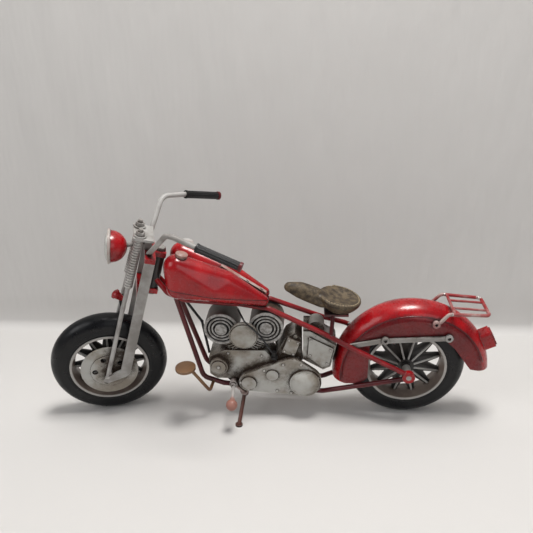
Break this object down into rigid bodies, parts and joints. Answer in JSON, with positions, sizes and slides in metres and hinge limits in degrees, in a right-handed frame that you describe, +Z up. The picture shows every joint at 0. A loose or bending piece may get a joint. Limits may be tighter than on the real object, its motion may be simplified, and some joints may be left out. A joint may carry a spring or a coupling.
{
  "type": "toy motorcycle",
  "caption": "Handmade tin V-twin motorcycle with a springer front fork, steering bars, free-rolling wheels and a folding side stand.",
  "frame": {"origin": "on the ground, under the centre of the overall length and width", "axes": "+X to the rear of the motorcycle, -X to its front, -Y to the rider's left, +Z up"},
  "size_m": [0.2672, 0.0907, 0.1362],
  "materials": {
    "tyre_rubber": "semi-matt black rubber with moulding nibs",
    "rim_paint": "silver paint with a brown wash",
    "silver_paint": "silver paint worn at the edges",
    "black_paint": "satin black paint",
    "grey_metal": "grey metal paint with a dark wash",
    "spring_wire": "wound steel wire, tarnished",
    "red_paint": "gloss red paint, aged darker in the recesses",
    "dark_red_paint": "maroon paint",
    "worn_red_paint": "red paint worn through to silver",
    "lens_plastic": "clear white plastic lens",
    "grip_rubber": "ribbed black rubber",
    "cast_metal": "silver painted castings with a brown wash",
    "dark_cast_metal": "dark brown painted castings with silver edges",
    "cable_plastic": "black plastic sleeve",
    "seat_leather": "worn brown leather with light stitching",
    "brown_paint": "brown paint",
    "dark_brown_paint": "dark brown paint, worn"
  },
  "bodies": {
    "chassis": {"rear_axle": "grey_metal", "head_tube": "black_paint", "cradle_left": "dark_red_paint", "cradle_right": "dark_red_paint", "upper_rail_left": "red_paint", "upper_rail_right": "red_paint", "axle_plates": "red_paint", "tank_left": "red_paint", "tank_right": "red_paint", "tank_strip": "worn_red_paint", "filler_caps": "worn_red_paint", "crankcase": "cast_metal", "cylinders": "cast_metal", "head_drums": "dark_cast_metal", "air_cleaner": "cast_metal", "generator_cover": "cast_metal", "primary_cover": "cast_metal", "gearbox": "cast_metal", "oil_tank": "cast_metal", "engine_cables": "cable_plastic", "exhaust": "cast_metal", "rear_fender": "red_paint", "fender_struts": "silver_paint", "luggage_rack": "worn_red_paint", "tail_light": "red_paint", "seat": "seat_leather", "seat_bracket": "dark_red_paint", "foot_pad": "brown_paint", "footpegs": "worn_red_paint"},
    "fork": {"front_axle": "grey_metal", "fork_leg_left": "silver_paint", "fork_leg_right": "silver_paint", "fork_rods": "silver_paint", "fork_springs": "spring_wire", "spring_perch": "silver_paint", "spring_bolts": "silver_paint", "upper_yoke": "red_paint", "lower_yoke": "red_paint", "steering_stem": "silver_paint", "handlebar_left": "silver_paint", "handlebar_right": "silver_paint", "grip_left": "grip_rubber", "grip_right": "grip_rubber", "headlight_shell": "red_paint", "headlight_bezel": "worn_red_paint", "headlight_lens": "lens_plastic", "horn": "red_paint", "horn_bracket": "black_paint"},
    "front_wheel": {"front_tyre": "tyre_rubber", "front_rim": "rim_paint", "front_spokes": "silver_paint", "front_star_plate": "black_paint", "front_hub": "black_paint", "brake_disc": "grey_metal"},
    "rear_wheel": {"rear_tyre": "tyre_rubber", "rear_rim": "rim_paint", "rear_spokes": "silver_paint", "rear_star_plate": "black_paint", "rear_hub": "black_paint"},
    "stand_leg": {"side_stand": "dark_brown_paint"}
  },
  "joints": [
    {"name": "steering", "type": "hinge", "parent": "chassis", "child": "fork", "pos_m": [-0.06478, -0.00656, 0.09583], "axis": [0.309, -0.1159, 0.944], "range_deg": [-40, 8]},
    {"name": "front_wheel_spin", "type": "hinge", "parent": "fork", "child": "front_wheel", "pos_m": [-0.09987, -0.00318, 0.03442], "axis": [-0.2621, 0.9437, 0.2017], "continuous": true},
    {"name": "rear_wheel_spin", "type": "hinge", "parent": "chassis", "child": "rear_wheel", "pos_m": [0.08157, 0.00094, 0.03479], "axis": [0, 0.9925, 0.1219], "continuous": true},
    {"name": "side_stand_fold", "type": "hinge", "parent": "chassis", "child": "stand_leg", "pos_m": [-0.01583, -0.00553, 0.01526], "axis": [-0.1295, -0.7228, 0.6788], "range_deg": [0, 80]}
  ]
}
